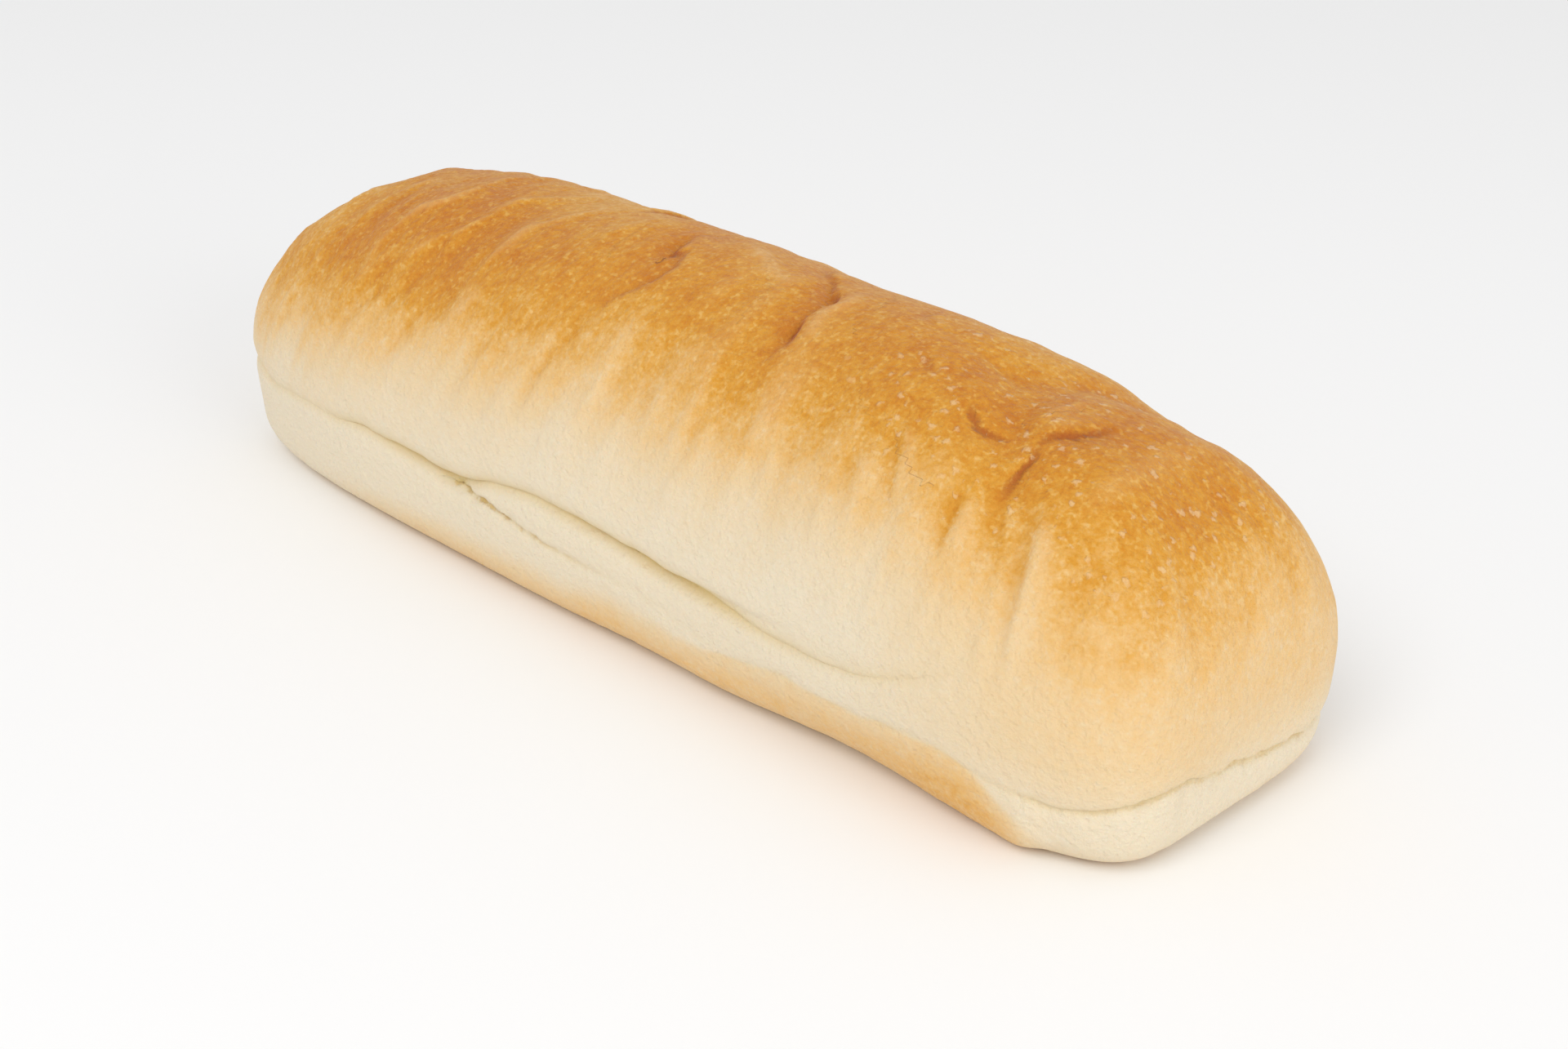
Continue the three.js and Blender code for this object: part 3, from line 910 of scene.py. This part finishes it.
# How much of its colour each has. CUT_RAGGED is how ragged the cuts are, in mm, and TEAR_RAGGED how
# ragged the tear is as a share of that.
CREST_HIGHLIGHT_MIX = 0.45
HOLLOW_SHADE_MIX = 0.2
SPECK_MIX = 0.25
CUT_SHADE_MIX = 0.9
BLISTER_MIX = 0.48
TEAR_CRUMB_AND_SHADE_MIX = 0.85
CUT_RAGGED = 1.1
TEAR_RAGGED = 0.9

# Blisters: how many cells in a mm, how many bumps in a mm their outlines have and how far these
# move them, each one's size from a random pick, and the softness of its edge.
BLISTER_CELLS = 0.58
BLISTER_WARP = {"Scale": 0.9, "Detail": 2.0}
BLISTER_WARP_AMOUNT = 1.8
BLISTER_SIZE = (0.25, 1.0, 0.0, 0.38)
BLISTER_EDGE = (-0.08, 0.16)

# Fine relief in mm, and roughness by bake level and by grain.
PORE_BUMP = 0.2
LEATHER_BUMP = 0.44
BLISTER_BUMP = 0.12
CUT_BUMP = -0.25
TEAR_BUMP = -0.25
ROUGHNESS = (0.2, 0.8, 0.8, 0.62)
GRAIN_ROUGHNESS = 0.25


class Nodes:
    """A short way to write a node tree."""

    def __init__(self, tree):
        self.tree = tree
        tree.nodes.clear()

    def add(self, kind, inputs=(), **settings):
        node = self.tree.nodes.new(kind)
        for name, value in settings.items():
            setattr(node, name, value)
        for key, value in dict(inputs).items():
            self.join(value, node.inputs[key])
        return node

    def join(self, value, socket):
        if isinstance(value, bpy.types.NodeSocket):
            self.tree.links.new(value, socket)
        else:
            socket.default_value = value

    def math(self, operation, a, b=0.0):
        return self.add("ShaderNodeMath", {0: a, 1: b}, operation=operation).outputs[0]

    def times(self, a, b):
        return self.math("MULTIPLY", a, b)

    def total(self, *values):
        so_far = values[0]
        for value in values[1:]:
            so_far = self.math("ADD", so_far, value)
        return so_far

    def around_zero(self, value):
        return self.math("SUBTRACT", value, 0.5)

    def ramp(self, value, colours):
        node = self.add("ShaderNodeValToRGB", {"Fac": value})
        stops = node.color_ramp.elements
        while len(stops) < len(colours):
            stops.new(0.5)
        for stop, (at, colour) in zip(stops, colours):
            stop.position = at
            stop.color = colour
        return node.outputs["Color"]

    def attribute(self, name):
        return self.add("ShaderNodeAttribute", attribute_name=name).outputs["Fac"]

    def step(self, value, low, high, low_to=0.0, high_to=1.0):
        inputs = {"Value": value, "From Min": low, "From Max": high}
        inputs.update({"To Min": low_to, "To Max": high_to})
        node = self.add("ShaderNodeMapRange", inputs, interpolation_type="SMOOTHSTEP")
        return node.outputs["Result"]

    def noise(self, where, scale, detail, roughness=0.5):
        inputs = {"Vector": where, "Scale": scale, "Detail": detail, "Roughness": roughness}
        return self.add("ShaderNodeTexNoise", inputs).outputs["Fac"]

    def mix(self, amount, a, b):
        node = self.add("ShaderNodeMix", data_type="RGBA")
        for value, name in ((amount, "Factor_Float"), (a, "A_Color"), (b, "B_Color")):
            self.join(value, next(s for s in node.inputs if s.identifier == name))
        return next(s for s in node.outputs if s.identifier == "Result_Color")


def crust_spot(n):
    """The spot on the crust, in mm."""
    where = n.add("ShaderNodeTexCoord").outputs["Object"]
    scaled = n.add("ShaderNodeVectorMath", {0: where, 1: (1 / MM,) * 3}, operation="MULTIPLY")
    return scaled.outputs["Vector"]


def skin_colour(n, where, bake, browned, grain):
    """The skin's colour by bake level, with painted highlights on crests and shade in hollows."""
    raised = n.attribute("raised")
    mottling = n.around_zero(n.noise(where, **MOTTLING))
    patches = n.around_zero(n.noise(where, **PATCHES))
    speck = n.step(n.noise(where, **SPECKS), *SPECKS_EDGE)
    # Painted highlight on crests and painted shade in hollows.
    crest = n.times(n.step(raised, *CREST_HIGHLIGHT_EDGE), browned)
    hollow_shade = n.times(n.step(raised, *HOLLOW_SHADE_EDGE), browned)
    level = n.total(
        bake,
        n.times(crest, CREST_HIGHLIGHT_SHIFT),
        n.times(hollow_shade, HOLLOW_SHADE_SHIFT),
        n.times(grain, n.step(bake, *GRAIN_SHIFT)),
        n.times(mottling, n.step(bake, *GRAIN_SHIFT)),
        n.times(patches, n.step(bake, *PATCHES_SHIFT)),
        n.times(speck, n.step(bake, *SPECKS_SHIFT)),
    )
    colour = n.ramp(level, CRUST_COLOURS)
    colour = n.mix(n.times(crest, CREST_HIGHLIGHT_MIX), colour, CREST_HIGHLIGHT_COLOUR)
    colour = n.mix(n.times(hollow_shade, HOLLOW_SHADE_MIX), colour, HOLLOW_SHADE_COLOUR)
    return n.mix(n.times(speck, n.times(browned, SPECK_MIX)), colour, SPECK_COLOUR)


def cuts(n, ragged):
    """The cuts in the crown's folds, where their colour is painted dark as shade."""
    gap = n.math("ABSOLUTE", n.total(n.attribute("crease_gap"), ragged))
    return n.times(n.step(gap, *CUT_EDGE), n.attribute("crease_strength"))


def tears(n, where, ragged):
    """The torn line under the upper seam, with breaks in it: its colour is part crumb, part painted
    shade.
    """
    gap = n.math("ABSOLUTE", n.total(n.attribute("under_gap"), n.times(ragged, TEAR_RAGGED)))
    tear = n.times(n.step(gap, *TEAR_EDGE), n.attribute("torn"))
    return n.times(tear, n.step(n.noise(where, **TEAR_BREAKS), *TEAR_BREAKS_EDGE))


def blisters(n, where):
    """Small pale blisters with ragged outlines, each 1 where its skin is lifted."""
    warp = n.add("ShaderNodeTexNoise", {"Vector": where, **BLISTER_WARP}).outputs["Color"]
    moved = {0: warp, 1: (BLISTER_WARP_AMOUNT,) * 3, 2: where}
    moved = n.add("ShaderNodeVectorMath", moved, operation="MULTIPLY_ADD").outputs["Vector"]
    cells = n.add("ShaderNodeTexVoronoi", {"Vector": moved, "Scale": BLISTER_CELLS})
    pick = n.add("ShaderNodeSeparateColor", {"Color": cells.outputs["Color"]}).outputs[0]
    inside = n.math("SUBTRACT", n.step(pick, *BLISTER_SIZE), cells.outputs["Distance"])
    return n.step(inside, *BLISTER_EDGE)


def crust_bump(n, where, blister, cut, tear):
    """The pores and the leathery skin, with the blisters, the cuts and the tear in it."""
    height = n.total(
        n.times(n.noise(where, **PORES), PORE_BUMP),
        n.times(n.noise(where, **LEATHER), LEATHER_BUMP),
        n.times(blister, BLISTER_BUMP),
        n.times(cut, CUT_BUMP),
        n.times(tear, TEAR_BUMP),
    )
    return n.add("ShaderNodeBump", {"Height": height, "Distance": MM, "Strength": 1.0})


def crust_material():
    material = bpy.data.materials.new("crust")
    material.use_nodes = True
    n = Nodes(material.node_tree)
    where = crust_spot(n)
    bake = n.attribute("bake")
    browned = n.step(bake, *BROWNED)
    grain = n.around_zero(n.noise(where, **GRAIN))
    ragged = n.times(n.around_zero(n.noise(where, **RAGGEDNESS)), CUT_RAGGED)
    cut = cuts(n, ragged)
    tear = tears(n, where, ragged)
    blister = n.times(blisters(n, where), n.times(browned, n.attribute("blistered")))
    # Painted shade in the seams' creases, on pale dough.
    seam_shade = n.times(n.attribute("valley"), n.step(bake, *DOUGHY))

    colour = skin_colour(n, where, bake, browned, grain)
    # Painted shade in the cuts.
    colour = n.mix(n.times(cut, CUT_SHADE_MIX), colour, CUT_SHADE_COLOUR)
    colour = n.mix(n.times(blister, BLISTER_MIX), colour, BLISTER_COLOUR)
    # Crumb colour and painted shade in the torn line.
    colour = n.mix(n.times(tear, TEAR_CRUMB_AND_SHADE_MIX), colour, TEAR_CRUMB_AND_SHADE_COLOUR)
    # Mix in the painted shade of the seams' creases.
    colour = n.mix(seam_shade, colour, SEAM_SHADE_COLOUR)

    shader = n.add("ShaderNodeBsdfPrincipled", {
        "Base Color": colour,
        "Roughness": n.total(n.step(bake, *ROUGHNESS), n.times(grain, GRAIN_ROUGHNESS)),
        "Normal": crust_bump(n, where, blister, cut, tear).outputs["Normal"],
        "Specular IOR Level": 0.3,
        "Subsurface Weight": 0.12,
        "Subsurface Radius": (3.0, 1.6, 0.8),
        "Subsurface Scale": MM,
        "Sheen Weight": 0.15,
        "Sheen Roughness": 0.5,
        "Sheen Tint": (1.0, 0.9, 0.85, 1.0),
    })
    out = n.add("ShaderNodeOutputMaterial")
    n.join(shader.outputs["BSDF"], out.inputs["Surface"])
    return material


# The studio, in metres and degrees, with the camera's lens and sensor in mm. A direction is the way
# round from the front side towards the near end, and the way up from the floor.
FLOOR_HALF_SIDE = 3.0
FLOOR_COLOUR = (0.96, 0.96, 0.96, 1)
CAMERA_DIRECTION = (45, 28)
CAMERA_DISTANCE = 0.3415
CAMERA_RIGHT = 0.0090
CAMERA_DOWN = 0.0151
AIM_HEIGHT = 0.45 * HEIGHT * MM
CAMERA_LENS = 50
CAMERA_SENSOR = 36
LIGHT_DISTANCE = 1.2
SKY_STRENGTH = 0.72


def make_floor():
    mesh = bpy.data.meshes.new("floor")
    side = FLOOR_HALF_SIDE
    corners = [(-side, -side, 0), (side, -side, 0), (side, side, 0), (-side, side, 0)]
    mesh.from_pydata(corners, [], [(0, 1, 2, 3)])
    floor = bpy.data.objects.new("floor", mesh)
    bpy.context.scene.collection.objects.link(floor)
    mesh.materials.append(floor_material())


def floor_material():
    material = bpy.data.materials.new("pale_floor")
    material.use_nodes = True
    shader = material.node_tree.nodes["Principled BSDF"]
    shader.inputs["Base Color"].default_value = FLOOR_COLOUR
    shader.inputs["Roughness"].default_value = 0.9
    shader.inputs["Specular IOR Level"].default_value = 0.1
    return material


def view_axes(azimuth, elevation):
    """Right, up and back of a camera that looks at the roll from that way round and that high."""
    a, e = math.radians(azimuth), math.radians(elevation)
    back = Vector((math.sin(a) * math.cos(e), -math.cos(a) * math.cos(e), math.sin(e)))
    right = Vector((math.cos(a), math.sin(a), 0))
    return right, back.cross(right), back


def turned(right, up, back, place):
    matrix = Matrix((right, up, back)).transposed().to_4x4()
    matrix.translation = place
    return matrix


def make_camera():
    right, up, back = view_axes(*CAMERA_DIRECTION)
    place = Vector((0, 0, AIM_HEIGHT)) + back * CAMERA_DISTANCE
    place = place + right * CAMERA_RIGHT - up * CAMERA_DOWN
    data = bpy.data.cameras.new("camera")
    data.lens = CAMERA_LENS
    data.sensor_width = CAMERA_SENSOR
    camera = bpy.data.objects.new("camera", data)
    camera.matrix_world = turned(right, up, back, place)
    bpy.context.scene.collection.objects.link(camera)
    bpy.context.scene.camera = camera


def make_light(name, direction, size, power):
    right, up, back = view_axes(*direction)
    data = bpy.data.lights.new(name, "AREA")
    data.shape = "DISK"
    data.size = size
    data.energy = power
    light = bpy.data.objects.new(name, data)
    light.matrix_world = turned(right, up, back, back * LIGHT_DISTANCE)
    bpy.context.scene.collection.objects.link(light)


def make_studio():
    world = bpy.data.worlds.new("studio")
    world.use_nodes = True
    sky = world.node_tree.nodes["Background"]
    sky.inputs["Color"].default_value = (1, 1, 1, 1)
    sky.inputs["Strength"].default_value = SKY_STRENGTH
    bpy.context.scene.world = world
    bpy.context.scene.view_settings.view_transform = "Standard"
    make_light("key", direction=(15, 50), size=0.7, power=4.0)
    make_light("fill", direction=(85, 20), size=0.8, power=3.1)


make_roll()
make_floor()
make_camera()
make_studio()
